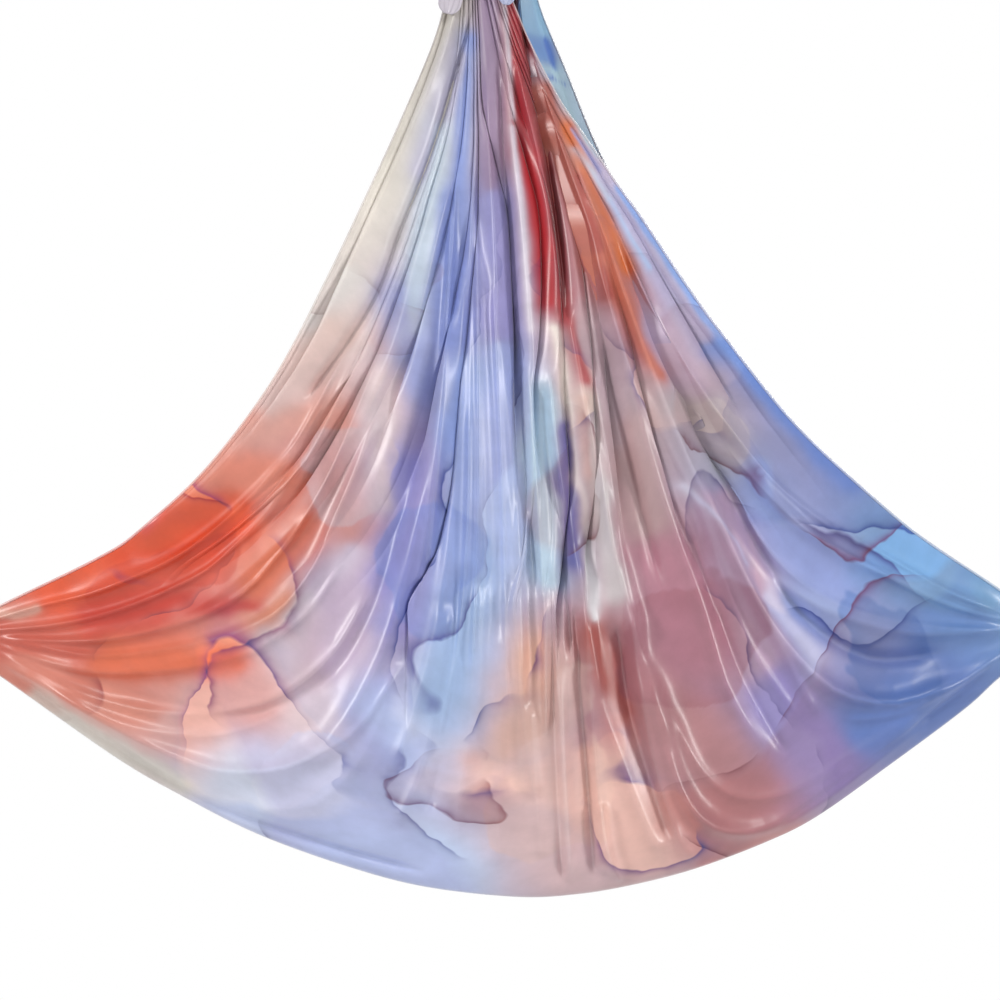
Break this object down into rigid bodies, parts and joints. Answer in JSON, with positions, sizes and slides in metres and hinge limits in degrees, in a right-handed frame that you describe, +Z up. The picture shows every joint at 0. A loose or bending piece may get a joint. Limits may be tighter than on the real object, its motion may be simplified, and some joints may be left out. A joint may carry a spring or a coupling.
{
  "type": "aerial hammock",
  "caption": "Aerial yoga hammock of printed stretch tricot, knotted to carabiners under a swivel and a ceiling plate, its corners drawn out sideways.",
  "frame": {"origin": "centre of the ceiling plate's upper face, which lies on the ceiling", "axes": "+Z up into the ceiling, +X to the right along the spread cloth, +Y away from the viewer, square to the cloth"},
  "size_m": [2.66, 0.2251, 2.6813],
  "materials": {
    "steel": "brushed",
    "zinc": "zinc plated",
    "sleeve": "black anodised",
    "cloth": "satin print on stretch tricot"
  },
  "bodies": {
    "anchor": {"ceiling_plate": "steel", "anchor_bolt_1": "zinc", "anchor_bolt_2": "zinc", "anchor_bolt_3": "zinc", "anchor_bolt_4": "zinc", "anchor_washer_1": "zinc", "anchor_washer_2": "zinc", "anchor_washer_3": "zinc", "anchor_washer_4": "zinc"},
    "top_carabiner": {"top_carabiner_body": "steel", "top_carabiner_rivet": "zinc"},
    "swivel_upper": {"swivel_housing": "steel"},
    "swivel_lower": {"swivel_shaft_eye": "steel", "swivel_nut": "zinc", "swivel_bearing": "zinc"},
    "hammock": {"left_carabiner_body": "steel", "left_carabiner_rivet": "zinc", "right_carabiner_body": "steel", "right_carabiner_rivet": "zinc", "front_panel": "cloth", "back_panel": "cloth", "left_knot": "cloth", "right_knot": "cloth", "left_tail": "cloth", "right_tail": "cloth"},
    "top_gate": {"top_carabiner_gate": "steel"},
    "left_gate": {"left_carabiner_gate": "steel"},
    "right_gate": {"right_carabiner_gate": "steel"},
    "top_sleeve": {"top_carabiner_sleeve": "sleeve"},
    "left_sleeve": {"left_carabiner_sleeve": "sleeve"},
    "right_sleeve": {"right_carabiner_sleeve": "sleeve"}
  },
  "joints": [
    {"name": "top_swing", "type": "hinge", "parent": "anchor", "child": "top_carabiner", "pos_m": [0, 0, -0.045], "axis": [1, 0, 0], "range_deg": [-60, 60]},
    {"name": "swivel_swing", "type": "hinge", "parent": "top_carabiner", "child": "swivel_upper", "pos_m": [0, 0, -0.1322], "axis": [0, 1, 0], "range_deg": [-50, 50]},
    {"name": "swivel_turn", "type": "hinge", "parent": "swivel_upper", "child": "swivel_lower", "pos_m": [0, 0, -0.17], "axis": [0, 0, 1], "continuous": true},
    {"name": "hammock_swing", "type": "hinge", "parent": "swivel_lower", "child": "hammock", "pos_m": [0, 0, -0.2277], "axis": [1, 0, 0], "range_deg": [-30, 30]},
    {"name": "top_gate_open", "type": "hinge", "parent": "top_carabiner", "child": "top_gate", "pos_m": [0, 0.0255, -0.1012], "axis": [1, 0, 0], "range_deg": [0, 22], "stiffness_Nm_per_rad": 0.5, "springref_deg": -17.19},
    {"name": "left_gate_open", "type": "hinge", "parent": "hammock", "child": "left_gate", "pos_m": [-0.02801, -0.0255, -0.28057], "axis": [-0.9511, 0, 0.309], "range_deg": [0, 22], "stiffness_Nm_per_rad": 0.5, "springref_deg": -17.19},
    {"name": "right_gate_open", "type": "hinge", "parent": "hammock", "child": "right_gate", "pos_m": [0.02801, 0.0255, -0.28057], "axis": [0.9511, 0, 0.309], "range_deg": [0, 22], "stiffness_Nm_per_rad": 0.5, "springref_deg": -17.19},
    {"name": "top_sleeve_screw", "type": "slide", "parent": "top_gate", "child": "top_sleeve", "axis": [0, 0, 1], "range_m": [0, 0.01]},
    {"name": "left_sleeve_screw", "type": "slide", "parent": "left_gate", "child": "left_sleeve", "axis": [0.309, 0, 0.9511], "range_m": [0, 0.01]},
    {"name": "right_sleeve_screw", "type": "slide", "parent": "right_gate", "child": "right_sleeve", "axis": [-0.309, 0, 0.9511], "range_m": [0, 0.01]}
  ]
}
